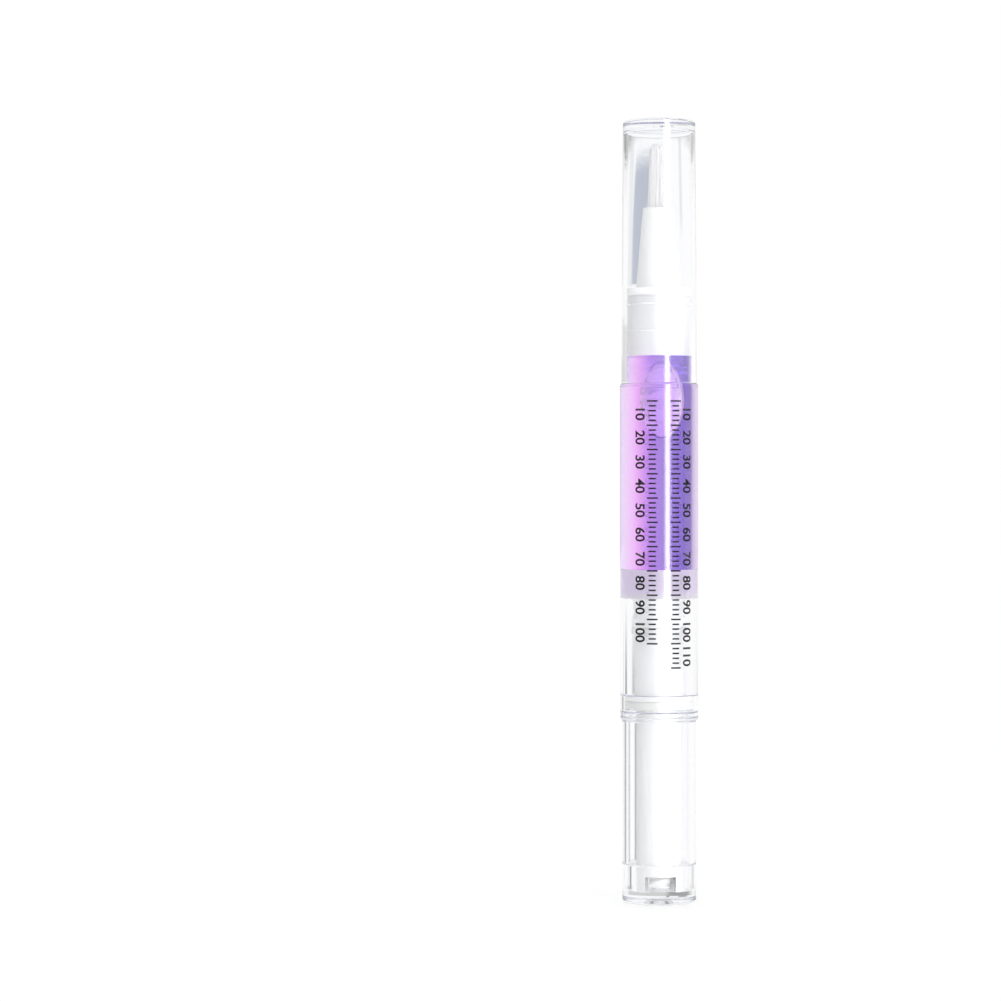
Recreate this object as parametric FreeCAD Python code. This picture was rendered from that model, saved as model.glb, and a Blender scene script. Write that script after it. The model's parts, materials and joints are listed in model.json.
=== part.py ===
import FreeCAD, Part
import math
import os
from FreeCAD import Vector

# Clear twist-up nail oil pen, standing on its tail with the cap on and the reservoir full.
# Millimetres, +Z up the pen, origin at the centre of the base.
# Turning the tail knob turns the keyed lead screw through a fixed nut, and the screw pushes a piston
# that feeds the oil through a plug and a tube into the brush. A ratchet lets it turn one way only.

# Fits that several pieces share
press_gap = 0.02
running_gap = 0.07
cut_overrun = 1.0

# Tail knob, the clear part that the user turns
tail_length = 30.15
tail_step = 0.35
tail_floor = 1.9
tail_edge_chamfer = 0.4
tail_top_chamfer = 0.15
tail_ledge_height = 6.2
spigot_wall = 0.56
spigot_lead = 0.44
gate_recess_radius = 2.2
gate_recess_depth = 0.45
gate_recess_slope = 0.6
drive_key_width = 4.3
drive_key_height = 2.6

# Snap bead that holds the tail knob in the barrel and lets it turn
snap_height = 0.26
snap_width = 0.5
snap_ramp = 0.18
snap_inset = 0.5
snap_play = 0.1

# Barrel, the clear reservoir
turn_gap = 0.15
barrel_length = 55.9
barrel_radius = 6.5
barrel_wall = 1.85
barrel_edge_chamfer = 0.3
neck_length = 14.6
neck_step = 1.1
mechanism_wall = 0.72

# Bead on the neck that grips the cap
grip_bead_height = 0.1
grip_bead_width = 0.9
grip_bead_ramp = 0.3
grip_bead_rise = 1.6

# Cap
cap_seat_gap = 0.05
cap_wall = 0.73
cap_draft = 0.27
cap_inner_step = 0.3
cap_mouth_chamfer = 0.15
cap_rim_chamfer = 0.35
cap_end_wall = 1.6
cap_tip_room = 2.16
cap_inner_chamfer = 0.45
cap_grip_margin = 0.5

# Front plug that closes the barrel and carries the nozzle
plug_depth = 10.0
plug_relief = 0.15
plug_flange_thickness = 1.3
plug_flange_chamfer = 0.2
plug_bead_width = 0.7
plug_bead_ramp = 0.25
plug_bead_drops = (1.2, 5.8)
plug_spigot_length = 4.4
feed_hole_radius = 0.6

# Feed tube that leads the oil into the brush
feed_tube_radius = 0.9
feed_tube_bore = 0.5
feed_tube_seat_depth = 2.8
feed_tube_length = 19.0

# Nozzle, the white cone that holds the brush
nozzle_length = 13.4
nozzle_ledge = 1.55
nozzle_wall = 1.33
nozzle_tip_wall = 0.8
nozzle_tip_chamfer = 0.25
brush_pocket_radius = 1.9
brush_pocket_depth = 5.5

# Brush
root_height = 1.6
brush_reach = 10.7
brush_tip_chamfer = 0.6

# Nut sleeve, fixed in the barrel
nut_length = 12.15
nut_flange_thickness = 0.9
nut_tube_gap = 0.55
nut_skirt_wall = 0.83
nut_ring_width = 1.0
nut_thread_length = 4.0

# Driver sleeve, pressed into the tail knob and keyed to the screw
driver_step = 0.6
driver_neck_wall = 0.95
driver_stand_off = 0.15
driver_key_length = 2.8
driver_thrust_gap = 0.2
driver_bore_gap = 0.15
spline_width = 0.9
spline_height = 0.22

# Lead screw, a rod with two flats and a barbed head that snaps into the piston
screw_flats_share = 0.714
screw_floor_gap = 0.4
barb_share = 0.81
barb_neck_share = 0.7
barb_nose_share = 0.5
barb_neck_length = 1.0
barb_height = 2.6
barb_slope = 0.5

# Ratchet ring, fixed in the barrel, and the click spring that turns with the driver
ratchet_height = 1.25
ratchet_gap = 0.13
ratchet_wall = 0.46
ratchet_tooth_depth = 0.4
ratchet_teeth = 16
spring_thickness = 0.95
spring_hub_wall = 0.38
spring_arm_gap = 0.3
spring_arm_width = 0.35
spring_tip_gap = 0.1
spring_arms = 2
spring_arm_sweep_deg = 110.0
spring_root_sweep_deg = 14.0
spring_tip_sweep_deg = 15.0

# Piston
piston_park_gap = 0.15
piston_lip_gap = 0.03
piston_lip_width = 1.3
piston_lip_ramp = 0.5
piston_waist_depth = 0.37
piston_rim_wall = 0.5
piston_web = 1.5
piston_cup_depth = 4.4
piston_hub_wall = 1.0
piston_skirt_wall = 0.85
piston_pocket_depth = 3.2

# Oil
oil_film = 0.02

# Radii that the pieces share, worked out from the outside inwards
bore_radius = barrel_radius - barrel_wall
neck_radius = barrel_radius - neck_step
mechanism_radius = barrel_radius - mechanism_wall
tail_radius = barrel_radius - tail_step
spigot_radius = mechanism_radius - running_gap
tail_inner_radius = spigot_radius - spigot_wall
snap_groove_radius = mechanism_radius + snap_height
snap_bead_radius = snap_groove_radius - running_gap
grip_bead_radius = neck_radius + grip_bead_height
cap_grip_radius = grip_bead_radius + running_gap
cap_mouth_radius = cap_grip_radius + cap_wall
cap_top_radius = cap_mouth_radius - cap_draft
cap_inner_radius = cap_grip_radius - cap_inner_step
nozzle_base_radius = neck_radius - nozzle_ledge
nozzle_tip_radius = brush_pocket_radius + nozzle_tip_wall
nozzle_socket_radius = nozzle_base_radius - nozzle_wall
feed_tube_hole = feed_tube_radius + press_gap
brush_radius = brush_pocket_radius - press_gap
nut_tube_radius = bore_radius - nut_tube_gap
nut_skirt_bore = nut_tube_radius - nut_skirt_wall
driver_neck_radius = nut_skirt_bore - running_gap
driver_radius = driver_neck_radius + driver_step
driver_socket_radius = driver_radius + press_gap
driver_bore_radius = driver_neck_radius - driver_neck_wall
spline_radius = driver_neck_radius + spline_height
screw_radius = driver_bore_radius - driver_bore_gap
screw_flats = 2 * screw_radius * screw_flats_share
barb_radius = screw_radius * barb_share
ratchet_outer_radius = mechanism_radius - press_gap
ratchet_root_radius = ratchet_outer_radius - ratchet_wall
ratchet_crest_radius = ratchet_root_radius - ratchet_tooth_depth
spring_arm_radius = ratchet_crest_radius - spring_arm_gap
spring_hub_radius = spline_radius + press_gap + spring_hub_wall
piston_lip_radius = bore_radius - piston_lip_gap
piston_cup_radius = piston_lip_radius - piston_rim_wall

# Heights that the pieces share, worked out from the base upwards
barrel_rear = tail_length + turn_gap
snap_rear = barrel_rear + snap_inset
spigot_top = snap_rear + 2 * snap_ramp + snap_width + spigot_lead
ratchet_rear = spigot_top + ratchet_gap
ratchet_front = ratchet_rear + ratchet_height
nut_rear = ratchet_front + press_gap
nut_flange_front = nut_rear + nut_flange_thickness
mechanism_seat = nut_flange_front + press_gap
nut_front = nut_rear + nut_length
nut_thread_rear = nut_front - nut_thread_length
driver_rear = tail_floor + press_gap
driver_shoulder = spigot_top + driver_stand_off
driver_front = nut_thread_rear - driver_thrust_gap
spring_rear = driver_shoulder + press_gap
spring_front = spring_rear + spring_thickness
screw_rear = tail_floor + screw_floor_gap
piston_rear = nut_front + piston_park_gap
screw_shoulder = piston_rear - running_gap
barb_rear = piston_rear + barb_neck_length
barb_front = barb_rear + barb_height
piston_cup_floor = barb_front + piston_web
piston_front = piston_cup_floor + piston_cup_depth
cap_shoulder = barrel_rear + barrel_length
neck_top = cap_shoulder + neck_length
plug_rear = neck_top - plug_depth
plug_flange_rear = neck_top + press_gap
plug_flange_front = plug_flange_rear + plug_flange_thickness
plug_spigot_front = plug_flange_front + plug_spigot_length
tube_rear = neck_top - feed_tube_seat_depth
tube_front = tube_rear + feed_tube_length
nozzle_rear = plug_flange_front + press_gap
nozzle_front = nozzle_rear + nozzle_length
brush_pocket_floor = nozzle_front - brush_pocket_depth
root_rear = brush_pocket_floor + press_gap
root_front = root_rear + root_height
brush_rear = root_front + press_gap
brush_front = nozzle_front + brush_reach
cap_mouth = cap_shoulder + cap_seat_gap
cap_grip_top = plug_flange_front + cap_grip_margin
cap_inner_top = brush_front + cap_tip_room
cap_top = cap_inner_top + cap_end_wall

AXIS = Vector(0, 0, 1)


def chamfered(radius, height, size):
    """Outline corner that is cut off flat."""
    return (radius, height, size)


def turned(corners):
    """Solid turned about the pen's axis from outline corners: (radius, height) or chamfered()."""
    points = [Vector(corner[0], 0, corner[1]) for corner in corners]
    outline = []
    for i, corner in enumerate(corners):
        if len(corner) == 2:
            outline.append(points[i])
            continue
        for neighbour in (points[i - 1], points[(i + 1) % len(points)]):
            outline.append(points[i] + (neighbour - points[i]).normalize() * corner[2])
    return Part.Face(Part.makePolygon(outline + outline[:1])).revolve(Vector(), AXIS, 360)


def rod(radius, low, high):
    """Round bar on the pen's axis between two heights."""
    return Part.makeCylinder(radius, high - low, Vector(0, 0, low), AXIS)


def bar(width, depth, low, high):
    """Rectangular bar centred on the pen's axis between two heights."""
    return Part.makeBox(width, depth, high - low, Vector(-width / 2, -depth / 2, low))


def flatted_rod(radius, flats, low, high):
    """Round bar with two flats, the key that lets the driver turn the screw."""
    return rod(radius, low, high).common(bar(flats, 2 * radius, low, high))


def sector(inner, outer, start_deg, sweep_deg, low, high):
    """Part of a ring, from one angle round by another."""
    slab = Part.makeCylinder(outer, high - low, Vector(0, 0, low), AXIS, sweep_deg)
    return slab.cut(rod(inner, low, high)).rotate(Vector(), AXIS, start_deg)


def ring_bead(base, crest, low, width, ramp):
    """Corners of a bead or groove with sloped sides, from its lower edge upwards."""
    return [
        (base, low),
        (crest, low + ramp),
        (crest, low + ramp + width),
        (base, low + 2 * ramp + width),
    ]


def polar(radius, angle, height):
    """Point at a radius and an angle in radians about the pen's axis."""
    return Vector(radius * math.cos(angle), radius * math.sin(angle), height)


def prism(points, height):
    """Straight-sided solid on a closed outline."""
    return Part.Face(Part.makePolygon(points + points[:1])).extrude(AXIS * height)


def make_tail_knob():
    """Clear cup with a thick keyed base, a thin wall and a snap spigot for the barrel."""
    bead = ring_bead(spigot_radius, snap_bead_radius, snap_rear, snap_width, snap_ramp)
    knob = turned(
        [
            (0, gate_recess_depth),
            (gate_recess_radius - gate_recess_slope, gate_recess_depth),
            (gate_recess_radius, 0),
            chamfered(tail_radius, 0, tail_edge_chamfer),
            chamfered(tail_radius, tail_length, tail_top_chamfer),
            (spigot_radius, tail_length),
            *bead,
            (spigot_radius, spigot_top),
            (tail_inner_radius, spigot_top),
            (tail_inner_radius, tail_ledge_height),
            (driver_socket_radius, tail_ledge_height),
            (driver_socket_radius, tail_floor),
            (0, tail_floor),
        ]
    )
    key_top = tail_floor + drive_key_height - running_gap
    key_depth = 2 * driver_radius
    keys = bar(drive_key_width, key_depth, tail_floor, key_top)
    keys = keys.common(rod(driver_socket_radius, tail_floor, key_top))
    keys = keys.cut(rod(driver_bore_radius, tail_floor, key_top))
    return knob.fuse(keys).removeSplitter()


def make_driver_sleeve():
    """White sleeve in the tail, with end slots for the knob's keys and a keyed throat for the screw."""
    sleeve = turned(
        [
            (0, driver_rear),
            (driver_radius, driver_rear),
            (driver_radius, driver_shoulder),
            (driver_neck_radius, driver_shoulder),
            (driver_neck_radius, driver_front),
            (0, driver_front),
        ]
    )
    throat = driver_front - driver_key_length
    slot_width = drive_key_width + 2 * running_gap
    slot_top = tail_floor + drive_key_height
    splines = bar(2 * spline_radius, spline_width, driver_shoulder, spring_front)
    sleeve = sleeve.fuse(splines)
    sleeve = sleeve.cut(rod(driver_bore_radius, driver_rear - cut_overrun, throat))
    sleeve = sleeve.cut(
        flatted_rod(driver_bore_radius, screw_flats + 2 * running_gap, throat, driver_front + cut_overrun)
    )
    sleeve = sleeve.cut(bar(slot_width, 2 * tail_radius, driver_rear - cut_overrun, slot_top))
    return sleeve.removeSplitter()


def barb_outline(rear, gap):
    """Corners of the screw's barbed head, or of its socket in the piston with a gap all round."""
    neck = barb_radius * barb_neck_share + gap
    widest = barb_radius + gap
    nose = barb_radius * barb_nose_share
    return [
        (0, rear),
        (neck, rear),
        (neck, barb_rear - gap),
        (widest, barb_rear + barb_slope - gap),
        chamfered(widest, barb_front + gap, nose),
        (0, barb_front + gap),
    ]


def make_lead_screw():
    """Flatted rod that the nut drives forward, with a barbed head that snaps into the piston."""
    shank = flatted_rod(screw_radius, screw_flats, screw_rear, screw_shoulder)
    return shank.fuse(turned(barb_outline(screw_shoulder, 0))).removeSplitter()


def make_nut_sleeve():
    """Flanged tube pressed into the barrel. Its front end is the nut and its skirt steadies the driver."""
    flange_radius = mechanism_radius - press_gap
    ring_radius = bore_radius - press_gap
    nut_bore = screw_radius + running_gap
    return turned(
        [
            (nut_skirt_bore, nut_rear),
            (flange_radius, nut_rear),
            (flange_radius, nut_flange_front),
            (nut_tube_radius, nut_flange_front),
            (nut_tube_radius, nut_front - nut_ring_width),
            (ring_radius, nut_front - nut_ring_width),
            (ring_radius, nut_front),
            (nut_bore, nut_front),
            (nut_bore, nut_thread_rear),
            (nut_skirt_bore, nut_thread_rear),
        ]
    )


def make_ratchet_ring():
    """Ring with saw teeth inside, each a ramp that ends in a steep face."""
    pitch = 2 * math.pi / ratchet_teeth
    outline = []
    for tooth in range(ratchet_teeth):
        outline.append(polar(ratchet_root_radius, tooth * pitch, ratchet_rear))
        outline.append(polar(ratchet_crest_radius, (tooth + 1) * pitch, ratchet_rear))
    blank = rod(ratchet_outer_radius, ratchet_rear, ratchet_front)
    return blank.cut(prism(outline, ratchet_height))


def make_click_spring():
    """Hub splined to the driver, with curved arms whose tips rest behind the ratchet's steep faces."""
    slot_radius = spline_radius + press_gap
    hub = rod(spring_hub_radius, spring_rear, spring_front)
    hub = hub.cut(rod(driver_neck_radius + press_gap, spring_rear, spring_front))
    hub = hub.cut(bar(2 * slot_radius, spline_width + 2 * press_gap, spring_rear, spring_front))
    arm_inner = spring_arm_radius - spring_arm_width
    tip_radius = ratchet_root_radius - spring_tip_gap
    tip_start = spring_tip_gap / tip_radius
    tip_end = tip_start + math.radians(spring_tip_sweep_deg)
    tip_outline = [
        polar(arm_inner, tip_start, spring_rear),
        polar(tip_radius, tip_start, spring_rear),
        polar(spring_arm_radius, tip_end, spring_rear),
        polar(arm_inner, tip_end, spring_rear),
    ]
    start_deg = math.degrees(tip_start)
    root_deg = start_deg + spring_arm_sweep_deg - spring_root_sweep_deg
    root_inner = slot_radius + spring_hub_wall / 2
    arm = sector(arm_inner, spring_arm_radius, start_deg, spring_arm_sweep_deg, spring_rear, spring_front)
    root = sector(root_inner, spring_arm_radius, root_deg, spring_root_sweep_deg, spring_rear, spring_front)
    arm = arm.fuse([root, prism(tip_outline, spring_thickness)])
    arms = [arm.copy().rotate(Vector(), AXIS, i * 360 / spring_arms) for i in range(spring_arms)]
    return hub.fuse(arms).removeSplitter()


def make_piston():
    """Soft piston with two wiping lips, a cupped face and a socket for the screw's barb."""
    lip = piston_lip_width
    ramp = piston_lip_ramp
    waist = piston_lip_radius - piston_waist_depth
    hub = barb_radius + piston_hub_wall
    skirt = piston_lip_radius - piston_skirt_wall
    pocket = piston_rear + piston_pocket_depth
    body = turned(
        [
            (0, piston_rear),
            (hub, piston_rear),
            (hub, pocket),
            (skirt, pocket),
            (skirt, piston_rear),
            (piston_lip_radius, piston_rear),
            (piston_lip_radius, piston_rear + lip),
            (waist, piston_rear + lip + ramp),
            (waist, piston_front - lip - ramp),
            (piston_lip_radius, piston_front - lip),
            (piston_lip_radius, piston_front),
            (piston_cup_radius, piston_front),
            (piston_cup_radius, piston_cup_floor),
            (0, piston_cup_floor),
        ]
    )
    return body.cut(turned(barb_outline(piston_rear - cut_overrun, running_gap)))


def make_oil_charge():
    """Oil between the piston's cup and the front plug."""
    radius = bore_radius - oil_film
    surface = piston_front + oil_film
    cup_floor = piston_cup_floor + oil_film
    front = plug_rear - oil_film
    return turned(
        [
            (0, cup_floor),
            (piston_cup_radius - oil_film, cup_floor),
            (piston_cup_radius - oil_film, surface),
            (radius, surface),
            (radius, front),
            (0, front),
        ]
    )


def make_barrel():
    """Thick clear tube with a stepped rear for the mechanism and a neck for the cap."""
    groove = ring_bead(
        mechanism_radius,
        snap_groove_radius,
        snap_rear - snap_play,
        snap_width + 2 * snap_play,
        snap_ramp,
    )
    bead = ring_bead(
        neck_radius, grip_bead_radius, cap_shoulder + grip_bead_rise, grip_bead_width, grip_bead_ramp
    )
    return turned(
        [
            (mechanism_radius, barrel_rear),
            chamfered(barrel_radius, barrel_rear, barrel_edge_chamfer),
            chamfered(barrel_radius, cap_shoulder, barrel_edge_chamfer),
            (neck_radius, cap_shoulder),
            *bead,
            (neck_radius, neck_top),
            (bore_radius, neck_top),
            (bore_radius, mechanism_seat),
            (mechanism_radius, mechanism_seat),
            *reversed(groove),
        ]
    )


def make_front_plug():
    """Flanged plug with two sealing beads, a drilled feed hole and a spigot for the nozzle."""
    seal_radius = bore_radius - press_gap
    body_radius = bore_radius - plug_relief
    spigot = nozzle_socket_radius - press_gap
    bead_span = 2 * plug_bead_ramp + plug_bead_width
    beads = []
    for drop in sorted(plug_bead_drops, reverse=True):
        low = neck_top - drop - bead_span
        beads += ring_bead(body_radius, seal_radius, low, plug_bead_width, plug_bead_ramp)
    return turned(
        [
            (feed_hole_radius, plug_rear),
            (body_radius, plug_rear),
            *beads,
            (body_radius, plug_flange_rear),
            (neck_radius, plug_flange_rear),
            chamfered(neck_radius, plug_flange_front, plug_flange_chamfer),
            (spigot, plug_flange_front),
            (spigot, plug_spigot_front),
            (feed_tube_hole, plug_spigot_front),
            (feed_tube_hole, tube_rear - press_gap),
            (feed_hole_radius, tube_rear - press_gap),
        ]
    )


def make_feed_tube():
    """Thin tube from the plug to the middle of the brush."""
    return rod(feed_tube_radius, tube_rear, tube_front).cut(rod(feed_tube_bore, tube_rear, tube_front))


def make_nozzle():
    """White cone over the plug's spigot, with a pocket for the brush."""
    socket_front = plug_spigot_front + press_gap
    return turned(
        [
            (nozzle_socket_radius, nozzle_rear),
            (nozzle_base_radius, nozzle_rear),
            chamfered(nozzle_tip_radius, nozzle_front, nozzle_tip_chamfer),
            (brush_pocket_radius, nozzle_front),
            (brush_pocket_radius, brush_pocket_floor),
            (feed_tube_hole, brush_pocket_floor),
            (feed_tube_hole, socket_front),
            (nozzle_socket_radius, socket_front),
        ]
    )


def make_brush_root():
    """Fused root ring that holds the bristles together."""
    return rod(brush_radius, root_rear, root_front).cut(rod(feed_tube_hole, root_rear, root_front))


def make_bristles():
    """Outer form of the bristle tuft, with room for the feed tube inside it."""
    tuft = turned(
        [
            (0, brush_rear),
            (brush_radius, brush_rear),
            chamfered(brush_radius, brush_front, brush_tip_chamfer),
            (0, brush_front),
        ]
    )
    return tuft.cut(rod(feed_tube_hole, brush_rear - cut_overrun, tube_front + press_gap))


def make_cap():
    """Clear closed cap, slightly tapered, with a wider bore at its mouth that slides over the neck."""
    return turned(
        [
            (cap_grip_radius, cap_mouth),
            chamfered(cap_mouth_radius, cap_mouth, cap_mouth_chamfer),
            chamfered(cap_top_radius, cap_top, cap_rim_chamfer),
            (0, cap_top),
            (0, cap_inner_top),
            chamfered(cap_inner_radius, cap_inner_top, cap_inner_chamfer),
            (cap_inner_radius, cap_grip_top),
            (cap_grip_radius, cap_grip_top),
        ]
    )


pieces = {
    "tail_knob": make_tail_knob(),
    "driver_sleeve": make_driver_sleeve(),
    "click_spring": make_click_spring(),
    "ratchet_ring": make_ratchet_ring(),
    "nut_sleeve": make_nut_sleeve(),
    "lead_screw": make_lead_screw(),
    "piston": make_piston(),
    "oil_charge": make_oil_charge(),
    "barrel": make_barrel(),
    "front_plug": make_front_plug(),
    "feed_tube": make_feed_tube(),
    "nozzle": make_nozzle(),
    "brush_root": make_brush_root(),
    "bristles": make_bristles(),
    "cap": make_cap(),
}

os.makedirs("parts", exist_ok=True)
for name, shape in pieces.items():
    shape.exportStep(os.path.join("parts", name + ".step"))
    print(f"{name}: {len(shape.Solids)} solid, valid {shape.isValid()}, {shape.Volume:.2f} mm3")
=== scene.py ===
import json
import math

import bmesh
import bpy
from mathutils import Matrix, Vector


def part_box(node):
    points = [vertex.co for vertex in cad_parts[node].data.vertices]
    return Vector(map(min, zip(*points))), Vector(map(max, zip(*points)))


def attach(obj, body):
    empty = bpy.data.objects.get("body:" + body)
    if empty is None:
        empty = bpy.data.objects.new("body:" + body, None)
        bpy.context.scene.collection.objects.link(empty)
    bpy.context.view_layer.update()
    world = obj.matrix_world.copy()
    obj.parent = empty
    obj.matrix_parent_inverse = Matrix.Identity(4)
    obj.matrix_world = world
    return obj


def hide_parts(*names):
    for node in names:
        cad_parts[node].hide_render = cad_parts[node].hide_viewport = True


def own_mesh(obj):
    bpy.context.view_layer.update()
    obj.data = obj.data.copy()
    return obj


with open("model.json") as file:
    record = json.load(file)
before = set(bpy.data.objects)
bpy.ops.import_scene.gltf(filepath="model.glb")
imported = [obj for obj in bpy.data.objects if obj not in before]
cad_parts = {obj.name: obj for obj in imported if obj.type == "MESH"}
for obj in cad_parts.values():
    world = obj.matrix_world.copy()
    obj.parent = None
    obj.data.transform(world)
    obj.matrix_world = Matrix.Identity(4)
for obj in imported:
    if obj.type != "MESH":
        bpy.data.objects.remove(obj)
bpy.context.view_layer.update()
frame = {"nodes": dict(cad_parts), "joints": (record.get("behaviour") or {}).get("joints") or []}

# Clear twist-up nail oil pen, standing on its tail with the cap on and the reservoir full.
# Sizes of the pen are in millimetres, and become metres where a mesh or a tree takes them.
# Floor, lamps and camera are in metres. Angles are given in degrees.

MM = 0.001
FACETS = 176
scene = bpy.context.scene


def round_node(name):
    """Radius, lowest and highest height of a round piece of the frame."""
    lowest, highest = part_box(name)
    return highest[1] / MM, lowest[2] / MM, highest[2] / MM


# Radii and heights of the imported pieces
barrel_radius, barrel_rear, neck_top = round_node("barrel")
cap_mouth_radius, cap_mouth, cap_top = round_node("cap")
tail_radius, tail_base, spigot_top = round_node("tail_knob")
plug_flange_radius, plug_rear, plug_spigot_front = round_node("front_plug")
nozzle_base_radius, nozzle_rear, nozzle_front = round_node("nozzle")
piston_lip_radius, piston_rear, piston_front = round_node("piston")
oil_radius, oil_cup_floor, oil_front = round_node("oil_charge")
nut_flange_radius, nut_rear, nut_front = round_node("nut_sleeve")
driver_radius, driver_rear, driver_front = round_node("driver_sleeve")
screw_radius, screw_rear, barb_front = round_node("lead_screw")
brush_radius, brush_rear, brush_front = round_node("bristles")
tube_radius, tube_rear, tube_front = round_node("feed_tube")
_, root_rear, _ = round_node("brush_root")
ratchet_radius, _, _ = round_node("ratchet_ring")

# Fits and walls between them
press_gap, running_gap = 0.02, 0.07
nut_flange_height = 0.9
bore_radius = oil_radius + press_gap
neck_radius = plug_flange_radius
mechanism_radius = ratchet_radius + press_gap
mechanism_seat = nut_rear + nut_flange_height + press_gap
cap_shoulder = cap_mouth - 0.05
grip_bead_low = cap_shoulder + 1.6
grip_bead_height = 0.1
cap_grip_radius = neck_radius + 0.17
cap_grip_top = nozzle_rear + 0.48
cap_top_radius = cap_mouth_radius - 0.27
cap_inner_top = cap_top - 1.6
cap_inner_radius = cap_grip_radius - 0.3
tail_shoulder = barrel_rear - 0.15
tail_floor = driver_rear - press_gap
tail_ledge = 6.2
tail_inner_radius = mechanism_radius - 0.63
spigot_radius = mechanism_radius - running_gap
driver_socket_radius = driver_radius + press_gap
driver_bore_radius = screw_radius + 0.15
driver_neck_radius = driver_radius - 0.6
driver_shoulder = spigot_top + 0.15
spring_front = driver_shoulder + 0.97
drive_key_width = 4.3
drive_key_top = tail_floor + 2.53
nut_tube_radius = bore_radius - 0.55
screw_shoulder = piston_rear - running_gap
screw_flat = screw_radius * 0.714
joints = {joint["name"]: joint for joint in frame["joints"]}
piston_stroke = joints["piston_push"]["range_m"][1] / MM
thread_lead = piston_stroke / (joints["tail_twist"]["range_deg"][1] / 360)

# Oil and its bubble of air
oil_skin = 0.03
cup_radius = piston_lip_radius - 0.5
bubble_low, bubble_high = 77.0, 89.8
bubble_radius = 2.75
bubble_forward, bubble_right = 1.6, 0.15
# Tones across the oil, from its left side to its right: the violet is its own colour, while the pink left
# side, deeper right side and pale edges are painted light and shade
oil_painted_light_tones = (
    (-1.00, (1.00, 0.98, 0.94)), (-0.70, (1.00, 0.50, 0.94)), (-0.34, (0.41, 0.18, 1.00)),
    (0.05, (0.29, 0.24, 0.88)), (0.62, (0.14, 0.08, 0.88)), (0.91, (0.16, 0.14, 0.54)),
    (1.00, (1.00, 1.00, 1.00)),
)
# Paler film of oil where the bubble presses on the wall: partly the thinner oil there, partly painted light,
# lighter towards its right side
film_middle, film_half = 0.36, 3.15
film_light_tones = ((-0.60, (0.54, 0.41, 0.66)), (0.10, (0.46, 0.38, 0.86)), (0.55, (0.80, 0.72, 1.00)))

# Print on the barrel, a plain filling scale
print_lift = 0.012
print_top = 83.2
scale_columns = (
    # angle towards the right, lowest height, kind
    (-33.0, 42.0, "numerals"), (-13.2, 40.0, "ticks"), (22.0, 36.0, "ticks"), (41.0, 36.0, "numerals"),
)
scale_step = 4.0
numeral_size = 2.4
numeral_weight = 0.05
tick_width, tick_thickness = 1.2, 0.26


# Small builders for node trees

def pick(sockets, key):
    """The shown socket of that name."""
    return next(s for s in sockets if s.name == key and s.enabled)


def add(tree, kind, links=(), **settings):
    """New node in a tree, with its settings and then its inputs given by name or number."""
    made = tree.nodes.new(kind)
    for key, value in settings.items():
        setattr(made, key, value)
    for key, value in dict(links).items():
        socket = made.inputs[key] if isinstance(key, int) else pick(made.inputs, key)
        if isinstance(value, bpy.types.NodeSocket):
            tree.links.new(value, socket)
        else:
            socket.default_value = value
    return made


def maths(tree, operation, *terms):
    """Output of a math node."""
    return add(tree, "ShaderNodeMath", dict(enumerate(terms)), operation=operation).outputs[0]


def remap(tree, value, low, high, to_low=0.0, to_high=1.0, kind="LINEAR"):
    """Value carried from one span to another and held at its ends."""
    spans = {"Value": value, "From Min": low, "From Max": high, "To Min": to_low, "To Max": to_high}
    return add(tree, "ShaderNodeMapRange", spans, interpolation_type=kind).outputs[0]


def between(tree, value, low, high, soft):
    """1 while a value is between two limits, with soft ends."""
    rise = remap(tree, value, low - soft, low + soft, kind="SMOOTHSTEP")
    fall = remap(tree, value, high - soft, high + soft, 1.0, 0.0, "SMOOTHSTEP")
    return maths(tree, "MULTIPLY", rise, fall)


def noise(tree, place, scale, detail):
    """Output of a noise texture."""
    return add(tree, "ShaderNodeTexNoise", {"Vector": place, "Scale": scale, "Detail": detail}).outputs[0]


def object_spot(tree):
    """Object coordinates as separate X, Y and Z sockets."""
    place = add(tree, "ShaderNodeTexCoord").outputs["Object"]
    return add(tree, "ShaderNodeSeparateXYZ", {"Vector": place}).outputs


def blend(tree, factor, first, second):
    """Colour between two colours."""
    return add(tree, "ShaderNodeMix", {0: factor, 6: first, 7: second}, data_type="RGBA").outputs[2]


def graded(tree, value, stops):
    """Colour along a scale of stops."""
    first, last = stops[0][0], stops[-1][0]
    ramp = add(tree, "ShaderNodeValToRGB", {"Fac": remap(tree, value, first, last)})
    for _ in stops[2:]:
        ramp.color_ramp.elements.new(0.5)
    for element, (place, tone) in zip(ramp.color_ramp.elements, stops):
        element.position = (place - first) / (last - first)
        element.color = (*tone, 1)
    return ramp.outputs[0]


def new_tree(name, kind, inputs, outputs):
    """Empty node group with named sockets: (name, socket type, default)."""
    tree = bpy.data.node_groups.new(name, kind)
    for way, sockets in (("INPUT", inputs), ("OUTPUT", outputs)):
        for label, socket_type, *default in sockets:
            socket = tree.interface.new_socket(label, in_out=way, socket_type=socket_type)
            if default:
                socket.default_value = default[0]
    return tree


# Shader groups that several finishes share

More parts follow.
